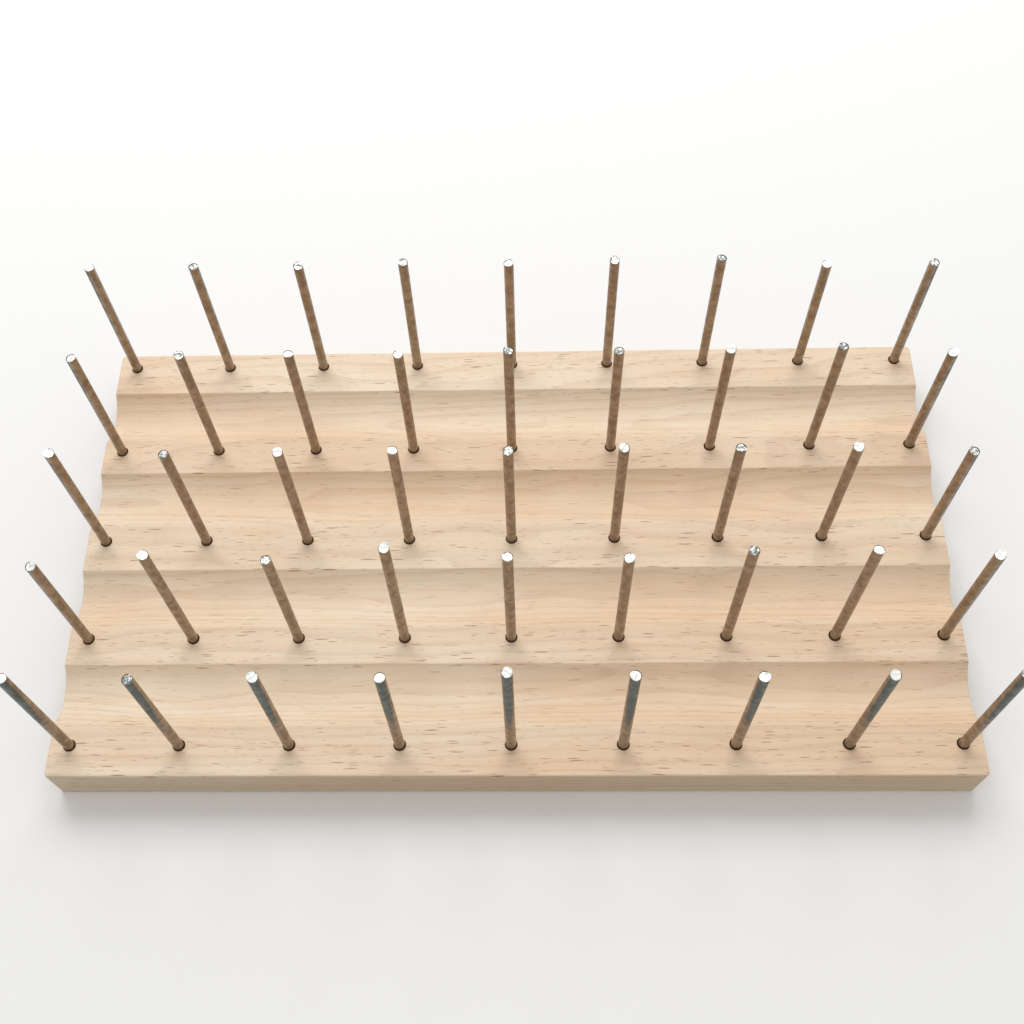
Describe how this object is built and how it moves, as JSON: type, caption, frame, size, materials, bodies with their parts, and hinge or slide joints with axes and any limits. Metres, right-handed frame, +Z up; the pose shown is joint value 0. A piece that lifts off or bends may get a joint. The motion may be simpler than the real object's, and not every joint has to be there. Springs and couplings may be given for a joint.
{
  "type": "yarn holder",
  "caption": "Flat grooved beech board with rows of upright cut steel wire pins that each hold one spool or cone of yarn.",
  "frame": {"origin": "middle of the board's underside", "axes": "+X along the rows of pins, to the right as seen from the front; +Y towards the back edge; +Z up along the pins"},
  "size_m": [0.36, 0.2, 0.098],
  "materials": {
    "beech": "planed and sanded bare beech with fine pore flecks along the length",
    "wire": "bare drawn steel wire, slightly browned, with bright sheared ends"
  },
  "bodies": {
    "root": {"board": "beech", "pin_row1_no1": "wire", "pin_row1_no2": "wire", "pin_row1_no3": "wire", "pin_row1_no4": "wire", "pin_row1_no5": "wire", "pin_row1_no6": "wire", "pin_row1_no7": "wire", "pin_row1_no8": "wire", "pin_row1_no9": "wire", "pin_row2_no1": "wire", "pin_row2_no2": "wire", "pin_row2_no3": "wire", "pin_row2_no4": "wire", "pin_row2_no5": "wire", "pin_row2_no6": "wire", "pin_row2_no7": "wire", "pin_row2_no8": "wire", "pin_row2_no9": "wire", "pin_row3_no1": "wire", "pin_row3_no2": "wire", "pin_row3_no3": "wire", "pin_row3_no4": "wire", "pin_row3_no5": "wire", "pin_row3_no6": "wire", "pin_row3_no7": "wire", "pin_row3_no8": "wire", "pin_row3_no9": "wire", "pin_row4_no1": "wire", "pin_row4_no2": "wire", "pin_row4_no3": "wire", "pin_row4_no4": "wire", "pin_row4_no5": "wire", "pin_row4_no6": "wire", "pin_row4_no7": "wire", "pin_row4_no8": "wire", "pin_row4_no9": "wire", "pin_row5_no1": "wire", "pin_row5_no2": "wire", "pin_row5_no3": "wire", "pin_row5_no4": "wire", "pin_row5_no5": "wire", "pin_row5_no6": "wire", "pin_row5_no7": "wire", "pin_row5_no8": "wire", "pin_row5_no9": "wire"}
  },
  "joints": []
}
